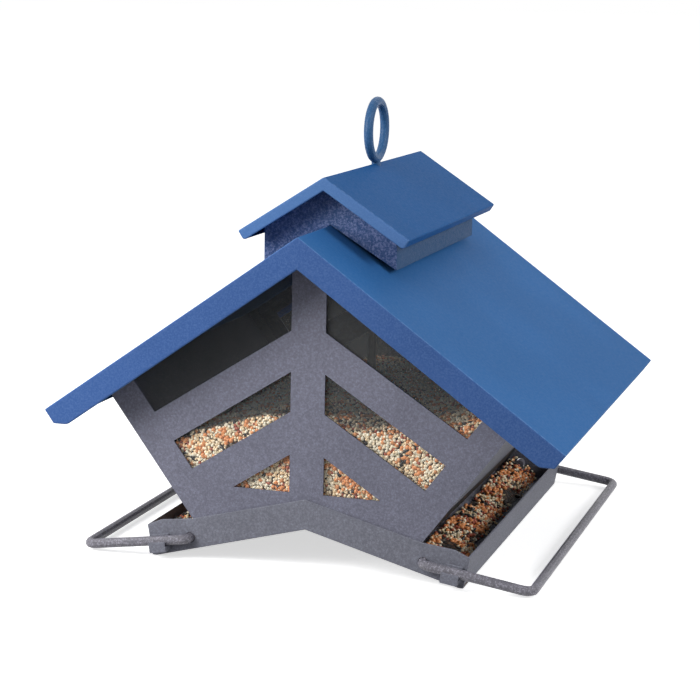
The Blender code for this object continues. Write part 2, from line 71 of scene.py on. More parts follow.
# Lamps: place, size and share, which is how bright each makes a white surface that faces it
LAMP_AIM = (0, 0, 0.12)
LAMPS = {
    "key": ((-0.7, -1.9, 2.2), 1.6, 0.20),
    "side": ((-0.54, -0.56, 0.44), 0.4, 0.84),
    "fill": ((2.05, -0.25, 1.15), 0.7, 0.46),
    "low_fill": ((2.3, 0.1, 0.2), 1.0, 0.05),
    "back": ((0.3, 2.0, 2.2), 1.2, 0.10),
}

# Coats: the roofs take slope and rim, the cupola's box end and side, the rest base and fleck
BLUE_FLECK = (0.20, 0.32, 0.58)
# Slopes and rims are one coat: the two blues of each roof differ as painted light and shade for
# how light falls on each face.
MAIN_ROOF_BLUES = (0.026, 0.117, 0.314), (0.041, 0.094, 0.262)
CUPOLA_ROOF_BLUES = (0.007, 0.076, 0.240), (0.070, 0.155, 0.345)
# The box's side blue is darker than its end blue: painted shade under the cupola's eaves.
CUPOLA_BOX_BLUES = (0.034, 0.072, 0.18), (0.016, 0.060, 0.145)
CUPOLA_BOX_FLECK = (0.21, 0.25, 0.44)
RING_BLUE = (0.022, 0.084, 0.20)
GABLE_GREYS = (0.148, 0.150, 0.196), (0.27, 0.28, 0.37)
BASE_GREYS = (0.150, 0.154, 0.188), (0.28, 0.29, 0.35)
PERCH_GREYS = (0.112, 0.108, 0.130), (0.46, 0.44, 0.52)
# The seed baffles are painted near black: painted shade for the recess under the hopper walls.
BAFFLE_PAINTED_SHADE_GREYS = (0.022, 0.023, 0.025), (0.05, 0.05, 0.055)
ZINC_GREYS = (0.16, 0.16, 0.16), (0.28, 0.27, 0.26)
PANE_COLOUR = (0.55, 0.57, 0.58)

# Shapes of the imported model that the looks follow
ROOF_HALF_DEPTH = 165 * MM
CUPOLA_HALF_DEPTH = 115.5 * MM
PANE_FACE = 136.9 * MM
FLOOR_APEX = 28.9 * MM
FLOOR_SLOPE = 0.262
WALL_SIDE_SLOPE = 0.739

# Cut-outs right of a gable's post: corners as x and height, in mm
POST_EDGE = 11.3
CUTOUTS = (
    ((POST_EDGE, 154.9), (POST_EDGE, 193.2), (113, 120.7), (109.5, 100), (104, 94.9)),
    ((POST_EDGE, 102.8), (POST_EDGE, 128.5), (89.4, 78), (78.9, 59)),
    ((POST_EDGE, 50.4), (POST_EDGE, 75.1), (49.5, 50.4)),
)

# Seed in the hopper: its top as x and height in mm, how far that falls backwards, its foot
SEED_HALF_DEPTH = 135 * MM
HOPPER_TOP = ((-120, 80), (-88, 80), (-68, 87), (-38, 94), (0, 96), (40, 92), (60, 93), (134, 110))
HOPPER_TOP_FALL = 7 * MM
HOPPER_FOOT_X = 66.5 * MM
HOPPER_FOOT_Z = 17 * MM
HOPPER_BED_DEPTH = 1.2 * MM
HOPPER_SECTIONS = 61
HOPPER_STEPS = 41
HOPPER_EDGE_TRIES = 8

# Seed in the trays: tops as x and height in mm at the front and where birds have eaten
TRAY_HALF_DEPTH = 139.8 * MM
TRAY_INNER_X = 69.4 * MM
TRAY_OUTER_X = 105 * MM
TRAY_TOP_FRONT = ((69, 16), (80, 15.5), (94, 13.5), (105, 10.5))
TRAY_TOP_BACK = ((69, 15.5), (79, 13.5), (86, 10), (91.5, 6))
TRAY_BARE_FROM_Y = -120 * MM
TRAY_BARE_TO_Y = -55 * MM
TRAY_EATEN = 1.5 * MM
LEFT_TRAY_RISE = 5.5 * MM
TRAY_LEAST_LEVEL = 1.4 * MM
TRAY_BED_DEPTH = 1.3 * MM
TRAY_BED_LEAST_TOP = 0.4 * MM
TRAY_BED_OVER_FLOOR = 0.2 * MM
TRAY_SECTIONS = 81
TRAY_STEPS = 21

# The perches' hooks, which turn inside the trays: grains lie round them, not in them
HOOK_X = 78.3 * MM
HOOK_Z = 14.3 * MM
HOOK_REACH = 8.5 * MM
HOOK_RADIUS = 3.2 * MM
HOOK_HEAP = 5.5 * MM
HOOK_HEAP_SPREAD = 9 * MM
HOOK_HEAP_INSET = 5 * MM
HOOK_CLEARANCE = 2 * MM
HOOK_BED_CLEARANCE = 0.6 * MM
HOOK_BED_MARGIN = 0.9 * MM

# How loose grains lie, in mm: layers as depth or lift and spacing
WINDOW_LAYERS = ((1.2, 1.85), (2.5, 2.1))
WINDOW_REACH = 118
WINDOW_BAND = (45, 128)
WINDOW_MARGIN = 3.5
TRAY_LAYERS = ((-1.4, 2.3), (-0.2, 2.9))
TRAY_REACH = 137.2
TOP_STEP = 2.7
TOP_REACH_X = 134
TOP_REACH_Y = 132.5
TOP_SINK = 0.6
ROD_CLEARANCE = 5.5
WINDOW_GAP_BELOW = -1.0 * MM
TRAY_GAP_BELOW = -1.1 * MM
GRAIN_SIZE_SPREAD = (0.85, 1.12)
GRAIN_TILT = 0.45
GRAIN_TURN_ON_PANE = 0.25
GRAIN_DARKEST = 0.80
GRAIN_WARMTH = 0.07
DRIFT_PITCH = 240
DRIFT_STRENGTH = 1.3
SEED_RANDOM_START = 7

# Grain kinds: half sizes in mm, colour, roughness
GRAINS = {
    "millet": ((1.1, 1.02, 0.95), (1.0, 0.78, 0.50), 0.38),
    "pale_millet": ((1.2, 1.1, 1.0), (1.0, 0.88, 0.66), 0.38),
    "milo": ((1.6, 1.45, 1.3), (0.82, 0.33, 0.12), 0.38),
    "red_millet": ((1.25, 1.1, 1.05), (0.42, 0.10, 0.05), 0.4),
    "dark_seed": ((2.6, 1.2, 0.95), (0.028, 0.024, 0.022), 0.4),
    "oat": ((2.3, 0.95, 0.8), (0.66, 0.54, 0.34), 0.55),
}
WINDOW_MIX = {
    "millet": 0.40,
    "pale_millet": 0.36,
    "milo": 0.15,
    "red_millet": 0.04,
    "dark_seed": 0.015,
    "oat": 0.035,
}
TRAY_MIX = {
    "millet": 0.19,
    "pale_millet": 0.15,
    "milo": 0.31,
    "red_millet": 0.18,
    "dark_seed": 0.11,
    "oat": 0.06,
}

# What shows between the grains: share of the cells from which a colour holds, and the colour
BED_CELLS_PER_METRE = 430
BED_COLOURS = (
    (0.0, (0.015, 0.012, 0.010)),
    (0.34, (0.05, 0.018, 0.010)),
    (0.58, (0.13, 0.05, 0.02)),
    (0.78, (0.20, 0.13, 0.08)),
    (0.93, (0.30, 0.25, 0.19)),
)


def set_camera():
    """The camera at the photograph's place, turned by azimuth, elevation and roll."""
    az, el, roll = CAMERA_AZIMUTH, CAMERA_ELEVATION, CAMERA_ROLL
    forward = Vector((-math.sin(az) * math.cos(el), math.cos(az) * math.cos(el), -math.sin(el)))
    right = Vector((math.cos(az), math.sin(az), 0))
    up = right.cross(forward)
    side = right * math.cos(roll) + up * math.sin(roll)
    top = up * math.cos(roll) - right * math.sin(roll)
    data = bpy.data.cameras.new("camera")
    data.sensor_width = CAMERA_SENSOR
    data.lens = CAMERA_LENS
    data.clip_start = 0.05
    camera = bpy.data.objects.new("camera", data)
    bpy.context.scene.collection.objects.link(camera)
    axes = Matrix((side, top, -forward)).transposed()
    camera.matrix_world = Matrix.Translation(CAMERA_PLACE) @ axes.to_4x4()
    bpy.context.scene.camera = camera


class Graph:
    """A short way to write a material's nodes."""

    def __init__(self, name):
        self.material = bpy.data.materials.new(name)
        self.material.use_nodes = True
        self.tree = self.material.node_tree
        self.shader = self.tree.nodes["Principled BSDF"]
        self.coords = self.node("ShaderNodeTexCoord").outputs["Object"]

    def node(self, kind, **settings):
        node = self.tree.nodes.new(kind)
        for key, value in settings.items():
            setattr(node, key, value)
        return node

    def link(self, source, target):
        if isinstance(source, (int, float, tuple)):
            target.default_value = source
        else:
            self.tree.links.new(source, target)

    def noise(self, scale, detail=2.0, roughness=0.5):
        node = self.node("ShaderNodeTexNoise")
        node.inputs["Scale"].default_value = scale
        node.inputs["Detail"].default_value = detail
        node.inputs["Roughness"].default_value = roughness
        self.link(self.coords, node.inputs["Vector"])
        return node.outputs["Fac"]

    def remap(self, value, low, high, to_low=0.0, to_high=1.0):
        node = self.node("ShaderNodeMapRange", interpolation_type="SMOOTHSTEP")
        self.link(value, node.inputs["Value"])
        node.inputs["From Min"].default_value = low
        node.inputs["From Max"].default_value = high
        node.inputs["To Min"].default_value = to_low
        node.inputs["To Max"].default_value = to_high
        return node.outputs["Result"]

    def math(self, operation, a, b=0.0):
        node = self.node("ShaderNodeMath", operation=operation)
        self.link(a, node.inputs[0])
        self.link(b, node.inputs[1])
        return node.outputs[0]

    def mix(self, share, a, b):
        node = self.node("ShaderNodeMix", data_type="RGBA")
        self.link(share, node.inputs["Factor"])
        self.link(a, node.inputs["A"])
        self.link(b, node.inputs["B"])
        return node.outputs["Result"]

    def axis(self, vector, name):
        node = self.node("ShaderNodeSeparateXYZ")
        self.link(vector, node.inputs[0])
        return node.outputs[name]

    def bump(self, height, distance):
        node = self.node("ShaderNodeBump")
        node.inputs["Strength"].default_value = 1.0
        node.inputs["Distance"].default_value = distance
        self.link(height, node.inputs["Height"])
        return node.outputs["Normal"]

    def finish(self, colour, roughness, normal=None):
        self.link(colour, self.shader.inputs["Base Color"])
        self.link(roughness, self.shader.inputs["Roughness"])
        if normal is not None:
            self.link(normal, self.shader.inputs["Normal"])
        return self.material


def opaque(colour):
    return (*colour, 1.0)


def clouded(g, colour, clouds):
    """The colour, a little lighter and darker with the clouds."""
    tone = g.node("ShaderNodeHueSaturation")
    g.link(clouds, tone.inputs["Value"])
    g.link(colour, tone.inputs["Color"])
    return tone.outputs["Color"]


def end_face(g):
    """1 on faces that look to the front or back, 0 on the others."""
    normal = g.node("ShaderNodeNewGeometry").outputs["Normal"]
    return g.remap(g.math("ABSOLUTE", g.axis(normal, "Y")), 0.5, 0.8)


def powder_coat(name, greys, roughness, share=0.5, grain=760, relief=0.14 * MM, gloss=0.2):
    """A rough, speckled powder coat: pale flecks and dark pits about a millimetre across."""
    base, fleck = greys
    g = Graph(name)
    g.shader.inputs["Specular IOR Level"].default_value = gloss
    grit = g.noise(grain, 4.0, 0.8)
    flecks = g.remap(grit, 0.46, 0.68)
    pits = g.remap(grit, 0.30, 0.52, 1.0, 0.0)
    clouds = g.remap(g.noise(26, 3.0, 0.6), 0.3, 0.7, 0.94, 1.05)
    shade = tuple(channel * 0.62 for channel in base)
    colour = g.mix(g.math("MULTIPLY", flecks, share), opaque(base), opaque(fleck))
    colour = g.mix(g.math("MULTIPLY", pits, share), colour, opaque(shade))
    rough = g.remap(g.noise(grain * 1.3), 0.3, 0.7, roughness - 0.05, roughness + 0.07)
    return g.finish(clouded(g, colour, clouds), rough, g.bump(grit, relief))


def roof_coat(name, half_depth, blues):
    """Satin blue on the slopes; the rims carry more speckle, and their blue differs from the
    slopes' as painted light and shade. A pale, broken line along the arris on the slopes' side is
    a painted highlight.
    """
    top, rim = blues
    g = Graph(name)
    g.shader.inputs["Specular IOR Level"].default_value = 0.04
    facing_end = end_face(g)
    from_end = g.math("SUBTRACT", half_depth, g.math("ABSOLUTE", g.axis(g.coords, "Y")))
    arris = g.remap(from_end, 0.2 * MM, 2.2 * MM, 1.0, 0.0)
    speckle = g.remap(g.noise(850, 4.0, 0.8), 0.40, 0.68)
    clouds = g.remap(g.noise(9, 3.0, 0.55), 0.3, 0.7, 0.94, 1.05)
    slope_colour = g.mix(g.math("MULTIPLY", speckle, 0.06), opaque(top), opaque(BLUE_FLECK))
    rim_colour = g.mix(g.math("MULTIPLY", speckle, 0.16), opaque(rim), opaque(BLUE_FLECK))
    colour = g.mix(facing_end, slope_colour, rim_colour)
    # Painted highlight: a pale line along the arris, where the slope meets the rim.
    arris_highlight = g.math("MULTIPLY", arris, g.remap(facing_end, 0.0, 1.0, 0.42, 0.0))
    arris_highlight = g.math("MULTIPLY", arris_highlight, g.remap(g.noise(420), 0.35, 0.6, 0.3, 1.0))
    colour = g.mix(arris_highlight, colour, opaque(BLUE_FLECK))
    rough = g.remap(g.noise(500), 0.3, 0.7, 0.50, 0.60)
    relief = g.bump(g.noise(420, 2.0, 0.5), 0.05 * MM)
    return g.finish(clouded(g, colour, clouds), rough, relief)


def box_coat(name, blues, fleck):
    """The cupola's box: coarse pale speckle on its ends, smooth blue on its long sides, darker
    there as painted shade under the cupola's eaves.
    """
    front, side = blues
    g = Graph(name)
    g.shader.inputs["Specular IOR Level"].default_value = 0.1
    speckle = g.remap(g.noise(700, 4.0, 0.8), 0.42, 0.66)
    front_colour = g.mix(g.math("MULTIPLY", speckle, 0.85), opaque(front), opaque(fleck))
    # The long sides' darker blue is painted shade.
    shaded_side_colour = g.mix(g.math("MULTIPLY", speckle, 0.08), opaque(side), opaque(fleck))
    colour = g.mix(end_face(g), shaded_side_colour, front_colour)
    rough = g.remap(g.noise(500), 0.3, 0.7, 0.52, 0.64)
    return g.finish(colour, rough, g.bump(speckle, 0.08 * MM))


def zinc_plate(name):
    """Plated steel with faint streaks."""
    g = Graph(name)
    g.shader.inputs["Metallic"].default_value = 1.0
    streaks = g.noise(300, 4.0, 0.6)
    colour = g.mix(streaks, *(opaque(grey) for grey in ZINC_GREYS))
    return g.finish(colour, g.remap(streaks, 0.3, 0.7, 0.28, 0.45), g.bump(streaks, 0.05 * MM))


def clear_pane(name):
    """A thin clear sheet with uneven dust."""
    g = Graph(name)
    g.shader.inputs["Alpha"].default_value = 0.042
    g.shader.inputs["IOR"].default_value = 1.49
    g.shader.inputs["Specular IOR Level"].default_value = 0.3
    dust = g.remap(g.noise(60, 4.0, 0.6), 0.4, 0.7, 0.03, 0.10)
    return g.finish(opaque(PANE_COLOUR), dust)


def grain_coat(name, colour, roughness):
    """One kind of grain: its colour, times each grain's own tint, with faint spots."""
    g = Graph(name)
    tint = g.node("ShaderNodeAttribute", attribute_name="tint").outputs["Color"]
    spots = g.remap(g.noise(700, 2.0), 0.35, 0.7, 0.90, 1.08)
    mixed = g.node("ShaderNodeMix", data_type="RGBA", blend_type="MULTIPLY")
    mixed.inputs["Factor"].default_value = 1.0
    g.link(opaque(colour), mixed.inputs["A"])
    g.link(tint, mixed.inputs["B"])
    return g.finish(clouded(g, mixed.outputs["Result"], spots), roughness)


def seed_bed_coat(name, dark, level=1.0):
    """What lies under the loose grains: packed seed, each cell with a colour of its own and
    darkened towards its edge as painted shade between the grains.
    """
    g = Graph(name)
    cells = g.node("ShaderNodeTexVoronoi")
    cells.inputs["Scale"].default_value = BED_CELLS_PER_METRE
    g.link(g.coords, cells.inputs["Vector"])
    ramp = g.node("ShaderNodeValToRGB")
    ramp.color_ramp.interpolation = "CONSTANT"
    for place, _ in BED_COLOURS[2:]:
        ramp.color_ramp.elements.new(place)
    for element, (place, colour) in zip(ramp.color_ramp.elements, BED_COLOURS):
        element.position = place
        element.color = opaque(level * channel for channel in colour)
    g.link(g.axis(cells.outputs["Color"], "X"), ramp.inputs["Fac"])
    # Painted shade: each cell darkens towards its edge, down to the given share, as in the
    # crevices between grains.
    painted_gap_shade = g.remap(cells.outputs["Distance"], 0.0, 0.75, 1.0, dark)
    relief = g.bump(g.math("SUBTRACT", 1.0, cells.outputs["Distance"]), 0.9 * MM)
    return g.finish(clouded(g, ramp.outputs["Color"], painted_gap_shade), 0.7, relief)


def paint(node, material):
    """Gives a node one material in place of its own."""
    node.data.materials.clear()
    node.data.materials.append(material)


def profile(points, x):
    """The height at x of a line through points given in millimetres."""
    xs, zs = zip(*points)
    return float(np.interp(x / MM, xs, zs)) * MM


def ripple(x, y, size=1.0):
    """Low uneven heaps on a seed surface, the same every run."""
    a = math.sin(61 * x + 23 * y) * math.sin(47 * y - 19 * x + 1.3)
    b = math.sin(173 * x - 131 * y + 0.7) * math.sin(149 * y + 83 * x)
    return size * (1.6 * a + 0.8 * b) * MM


def section_solid(name, sections, material):
    """A closed body through a row of sections, each a ring of points with the same count."""
    shape = bmesh.new()
    rings = [[shape.verts.new(point) for point in ring] for ring in sections]
    for ring, following in zip(rings, rings[1:]):
        count = len(ring)
        for i in range(count):
            j = (i + 1) % count
            shape.faces.new((ring[i], ring[j], following[j], following[i]))
    shape.faces.new(rings[0][::-1])
    shape.faces.new(rings[-1])
    bmesh.ops.triangulate(shape, faces=[f for f in shape.faces if len(f.verts) > 4])
    bmesh.ops.recalc_face_normals(shape, faces=shape.faces)
    mesh = bpy.data.meshes.new(name)
    shape.to_mesh(mesh)
    shape.free()
    mesh.shade_smooth()
    mesh.set_sharp_from_angle(angle=math.radians(50))
    mesh.materials.append(material)
    body = bpy.data.objects.new(name, mesh)
    bpy.context.scene.collection.objects.link(body)
    return body


def floor_height(x):
    """Height of the base's folded floor."""
    return FLOOR_APEX - FLOOR_SLOPE * abs(x)


def hopper_top(x, y):
    """The seed in the hopper: it has run down to the left and a little to the back."""
    backward = (y + SEED_HALF_DEPTH) / (2 * SEED_HALF_DEPTH)
    return profile(HOPPER_TOP, x) - HOPPER_TOP_FALL * backward + ripple(x, y)


def wall_x(z):
    """How far out a hopper wall leaves room for seed at a height."""
    return HOPPER_FOOT_X + WALL_SIDE_SLOPE * (z - HOPPER_FOOT_Z)


def hopper_edge(side, y):
    """X where the top of the hopper's seed meets a sloping wall."""
    x = side * HOPPER_FOOT_X
    for _ in range(HOPPER_EDGE_TRIES):
        x = side * wall_x(hopper_top(x, y))
    return x


def bare_share(side, y):
    """0 where seed fills a tray to 1 where its outer strip is bare; the left one is full."""
    if side < 0:
        return 0.0
    share = (y - TRAY_BARE_FROM_Y) / (TRAY_BARE_TO_Y - TRAY_BARE_FROM_Y)
    share = min(max(share, 0.0), 1.0)
    return share * share * (3 - 2 * share)


def tray_inner(side):
    """X where a tray's seed meets the hopper's sloping wall."""
    return TRAY_INNER_X + (WALL_SIDE_SLOPE * LEFT_TRAY_RISE if side < 0 else 0.0)


def near_hook(x, y, margin):
    """Whether a place lies over a perch's hook, give or take a margin."""
    in_reach = abs(y) > TRAY_HALF_DEPTH - HOOK_REACH - margin
    return in_reach and abs(x - HOOK_X) < HOOK_RADIUS + margin


def tray_edge(side, y):
    """X of the seed's outer edge in a tray, measured towards that side."""
    bare = bare_share(side, y)
    return (TRAY_TOP_BACK[-1][0] * bare + TRAY_TOP_FRONT[-1][0] * (1 - bare)) * MM


def tray_top(side, x, y):
    """A tray's seed: it fills the front, leaves floor bare behind, and hides the perch's hooks."""
    bare = bare_share(side, y)
    level = profile(TRAY_TOP_FRONT, x) * (1 - bare) + profile(TRAY_TOP_BACK, x) * bare
    level += LEFT_TRAY_RISE if side < 0 else 0.0
    off_hook = math.hypot(x - HOOK_X, abs(y) - TRAY_HALF_DEPTH + HOOK_HEAP_INSET)
    heap = HOOK_HEAP * math.exp(-((off_hook / HOOK_HEAP_SPREAD) ** 2))
    eaten = TRAY_EATEN * (0.5 + 0.5 * math.sin(37 * y + 0.6))
    return max(level + heap - eaten + ripple(x, y, 0.45), floor_height(x) + TRAY_LEAST_LEVEL)


def hopper_bed(material):
    """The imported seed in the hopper, from the base's floor up to under its loose grains."""
    sections = []
    steps = np.linspace(-1, 1, HOPPER_STEPS)
    for y in np.linspace(-SEED_HALF_DEPTH, SEED_HALF_DEPTH, HOPPER_SECTIONS):
        ring = []
        left, right = hopper_edge(-1, y), hopper_edge(1, y)
        for share in steps:
            x = left * -share if share < 0 else right * share
            ring.append((x, y, hopper_top(x, y) - HOPPER_BED_DEPTH))
        for share in steps[::-1]:
            x = share * HOPPER_FOOT_X
            foot = HOPPER_FOOT_Z if abs(share) == 1 else floor_height(x)
            ring.append((x, y, foot))
        sections.append(ring)
    return section_solid("hopper_seed_bed", sections, material)


def tray_bed(name, side, material):
    """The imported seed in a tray, kept clear of the perch's hooks."""
    sections = []
    for y in np.linspace(-TRAY_HALF_DEPTH, TRAY_HALF_DEPTH, TRAY_SECTIONS):
        xs = np.linspace(tray_inner(side), tray_edge(side, y), TRAY_STEPS)
        tops = []
        for x in xs:
            top = tray_top(side, x, y) - TRAY_BED_DEPTH
            if near_hook(x, y, HOOK_BED_MARGIN):
                top = min(top, HOOK_Z - HOOK_RADIUS - HOOK_BED_CLEARANCE)
            tops.append(max(top, floor_height(x) + TRAY_BED_LEAST_TOP))
        ring = [(side * x, y, z) for x, z in zip(xs, tops)]
        ring += [(side * x, y, floor_height(x) + TRAY_BED_OVER_FLOOR) for x in xs[::-1]]
        sections.append(ring)
    return section_solid(name, sections, material)


def unit_grain():
    """Points and triangles of a round grain of radius 1."""
    shape = bmesh.new()
    bmesh.ops.create_icosphere(shape, subdivisions=2, radius=1)
    points = np.array([v.co for v in shape.verts])
    faces = np.array([[v.index for v in f.verts] for f in shape.faces])
    shape.free()
    return points, faces


def loose_turns(rng, count):
    """Turns of grains that lie down more than they stand up."""
    yaw = rng.uniform(0, 2 * math.pi, count)
    pitch = rng.normal(0, GRAIN_TILT, count)
    roll = rng.normal(0, GRAIN_TILT, count)
    cy, sy, cp, sp = np.cos(yaw), np.sin(yaw), np.cos(pitch), np.sin(pitch)
    cr, sr = np.cos(roll), np.sin(roll)
    turns = np.empty((count, 3, 3))
    turns[:, 0] = np.stack([cy * cp, cy * sp * sr - sy * cr, cy * sp * cr + sy * sr], 1)
    turns[:, 1] = np.stack([sy * cp, sy * sp * sr + cy * cr, sy * sp * cr - cy * sr], 1)
    turns[:, 2] = np.stack([-sp, cp * sr, cp * cr], 1)
    return turns


def pane_turns(rng, count):
    """Turns of grains that lie flat against a pane."""
    yaw = rng.normal(0, GRAIN_TURN_ON_PANE, count)
    pitch = rng.uniform(0, math.pi, count)
    cy, sy, cp, sp = np.cos(yaw), np.sin(yaw), np.cos(pitch), np.sin(pitch)
    turns = np.zeros((count, 3, 3))
    turns[:, 0] = np.stack([cy * cp, -sy, cy * sp], 1)
    turns[:, 1] = np.stack([sy * cp, cy, sy * sp], 1)
    turns[:, 2] = np.stack([-sp, np.zeros(count), cp], 1)
    return turns


def grain_tints(rng, count):
    """A colour for each grain, a little darker, warmer or cooler than its kind."""
    value = rng.uniform(GRAIN_DARKEST, 1.0, (count, 1)) ** 0.5
    warm = rng.uniform(-GRAIN_WARMTH, GRAIN_WARMTH, (count, 1))
    return np.concatenate([value * (1 + warm), value, value * (1 - warm), np.ones((count, 1))], 1)


def grain_mesh(name, places, half_sizes, material, rng, on_pane):
    """All the grains of one kind as one mesh, each with its own size, turn and tint."""
    count = len(places)
    points, faces = unit_grain()
    sizes = np.array(half_sizes) * MM * rng.uniform(*GRAIN_SIZE_SPREAD, (count, 3))
    if on_pane:
        sizes = sizes[:, [0, 2, 1]]
    turns = pane_turns(rng, count) if on_pane else loose_turns(rng, count)
    cloud = points[None] * sizes[:, None]
    cloud = np.einsum("nij,nkj->nki", turns, cloud) + np.asarray(places)[:, None]
    mesh = bpy.data.meshes.new(name)
    mesh.vertices.add(count * len(points))
    mesh.vertices.foreach_set("co", cloud.reshape(-1).astype(np.float32))
    corners = (faces[None] + len(points) * np.arange(count)[:, None, None]).reshape(-1)
    mesh.loops.add(len(corners))
    mesh.loops.foreach_set("vertex_index", corners.astype(np.int32))
    mesh.polygons.add(count * len(faces))
    mesh.polygons.foreach_set("loop_start", np.arange(0, len(corners), 3, dtype=np.int32))
    tint = mesh.color_attributes.new("tint", "FLOAT_COLOR", "POINT")
    shades = np.repeat(grain_tints(rng, count), len(points), 0)
    tint.data.foreach_set("color", shades.reshape(-1).astype(np.float32))
    mesh.update(calc_edges=True)
    mesh.validate()
    mesh.shade_smooth()
    mesh.materials.append(material)
    body = bpy.data.objects.new(name, mesh)
    bpy.context.scene.collection.objects.link(body)
    return body


def shared_out(mix, places, rng):
    """Splits places among the kinds of grain, in loose drifts of one kind."""
    kinds = list(mix)
    weights = np.array([mix[kind] for kind in kinds])
    places = np.asarray(places)
    pull = np.stack(
        [np.sin(places @ rng.normal(0, DRIFT_PITCH, 3) + rng.uniform(0, 6)) for _ in kinds], 1
    )
    chance = weights * np.exp(DRIFT_STRENGTH * pull)
    chance /= chance.sum(1, keepdims=True)
    pick = (chance.cumsum(1) < rng.uniform(0, 1, (len(places), 1))).sum(1)
    return {kind: places[pick == i] for i, kind in enumerate(kinds)}


def jittered(low_a, high_a, low_b, high_b, step, rng):
    """The points of a grid, each moved by chance within its cell."""
    a = np.arange(low_a, high_a, step)
    b = np.arange(low_b, high_b, step)
    grid = np.stack(np.meshgrid(a, b), -1).reshape(-1, 2)
    return grid + rng.uniform(-0.42, 0.42, grid.shape) * step


def inside(outline, point, margin):
    """Whether a point lies in a convex outline grown by a margin."""
    outline = np.array(outline)
    sides = list(zip(outline, np.roll(outline, -1, 0)))
    sign = 1 if sum(a[0] * b[1] - a[1] * b[0] for a, b in sides) > 0 else -1
    for a, b in sides:
        edge = b - a
        away = (edge[0] * (point[1] - a[1]) - edge[1] * (point[0] - a[0])) / np.hypot(*edge)
        if sign * away < -margin:
            return False
    return True


def window_places(end, rng):
    """Grains lying against a pane, only where a cut-out shows them; the left side has gaps."""
    places = []
    for depth, step in WINDOW_LAYERS:
        for x, z in jittered(-WINDOW_REACH, WINDOW_REACH, *WINDOW_BAND, step, rng):
            if z > hopper_top(x * MM, end * SEED_HALF_DEPTH) / MM + 0.5 * rng.normal():
                continue
            if x < 0 and ripple(1.6 * x * MM, 1.6 * z * MM) < WINDOW_GAP_BELOW:
                continue
            if any(inside(cutout, (abs(x), z), WINDOW_MARGIN) for cutout in CUTOUTS):
                y = PANE_FACE / MM - depth - abs(rng.normal(0, 0.25))
                places.append((x, end * y, z))
    return np.array(places) * MM


def tray_places(side, rng):
    """Grains lying loose in a tray, with gaps where the seed dips."""
    places = []
    low, high = tray_inner(side) / MM + 1, TRAY_OUTER_X / MM - 1.8
    for lift, step in TRAY_LAYERS:
        for x, y in jittered(low, high, -TRAY_REACH, TRAY_REACH, step, rng):
            in_dip = ripple(x * MM, 1.7 * y * MM) < TRAY_GAP_BELOW
            if not in_dip and x < tray_edge(side, y * MM) / MM + rng.normal(-1.0, 1.6):
                z = tray_top(side, x * MM, y * MM) / MM + lift + rng.normal(0, 0.5)
                off_axis = math.hypot(x * MM - HOOK_X, z * MM - HOOK_Z)
                in_hook = off_axis < HOOK_RADIUS + HOOK_CLEARANCE
                if not (in_hook and near_hook(x * MM, y * MM, HOOK_CLEARANCE)):
                    places.append((side * x, y, z))
    return np.array(places) * MM


def top_places(rng):
    """Grains on the hopper's seed, between its walls and round the rod."""
    places = []
    for x, y in jittered(-TOP_REACH_X, TOP_REACH_X, -TOP_REACH_Y, TOP_REACH_Y, TOP_STEP, rng):
        z = hopper_top(x * MM, y * MM) / MM - TOP_SINK + rng.normal(0, 0.4)
        if math.hypot(x, y) > ROD_CLEARANCE and abs(x) < wall_x(z * MM) / MM - 1:
            places.append((x, y, z))
    return np.array(places) * MM


def scatter(name, mix, places, materials, rng, on_pane=False):
    """Lays grains of a mix at the places, one mesh for each kind."""
    for kind, spots in shared_out(mix, places, rng).items():
        if len(spots):
            piece = name + "_" + kind
            grains = grain_mesh(piece, spots, GRAINS[kind][0], materials[kind], rng, on_pane)
            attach(grains, "feeder")


def lay_seed():
    """Packed beds in place of the seed's solids, with loose grains over and before them."""
    rng = np.random.default_rng(SEED_RANDOM_START)
    materials = {kind: grain_coat(kind, look[1], look[2]) for kind, look in GRAINS.items()}
    # The second number in each call is how dark the painted shade between the bed's grains goes.
    bed = hopper_bed(seed_bed_coat("hopper_seed_bed", 0.45, 2.2))
    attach(bed, "feeder")
    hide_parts("hopper_seed")
    scatter("top_seed", WINDOW_MIX, top_places(rng), materials, rng)
    for name, end in (("front", -1), ("back", 1)):
        scatter(name + "_seed", WINDOW_MIX, window_places(end, rng), materials, rng, True)
    for name, side in (("left", -1), ("right", 1)):
        bed = tray_bed(name + "_tray_bed", side, seed_bed_coat(name + "_tray_bed", 0.25))
        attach(bed, "feeder")
        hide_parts(name + "_tray_seed")
        scatter(name + "_tray_grains", TRAY_MIX, tray_places(side, rng), materials, rng)


def coat_nodes(nodes):
    """Gives every node that stays its own coat."""
    coats = {
        ("main_roof",): roof_coat("main_roof_blue", ROOF_HALF_DEPTH, MAIN_ROOF_BLUES),
        ("cupola_roof",): roof_coat("cupola_blue", CUPOLA_HALF_DEPTH, CUPOLA_ROOF_BLUES),
        ("cupola_box",): box_coat("cupola_box_blue", CUPOLA_BOX_BLUES, CUPOLA_BOX_FLECK),
        ("hanging_ring",): powder_coat("ring_blue", (RING_BLUE, BLUE_FLECK), 0.42, 0.2),
        ("_gable",): powder_coat("grey_coat", GABLE_GREYS, 0.62),
        ("base_tray", "_rest", "_hopper_wall"): powder_coat("base_grey", BASE_GREYS, 0.6),
        # Near-black baffles: painted shade in the recess under the hopper walls.
        ("_seed_baffle",): powder_coat("baffle_painted_shade", BAFFLE_PAINTED_SHADE_GREYS, 0.6),
        ("_perch",): powder_coat("perch_grey", PERCH_GREYS, 0.45, 0.6, 800, 0.2 * MM, 0.5),
        ("tie_rod", "_nut", "_washer"): zinc_plate("zinc_plate"),
        ("_window",): clear_pane("clear_pane"),
    }
    for name in nodes:
        for endings, coat in coats.items():
            if name.endswith(endings):
                paint(nodes[name], coat)


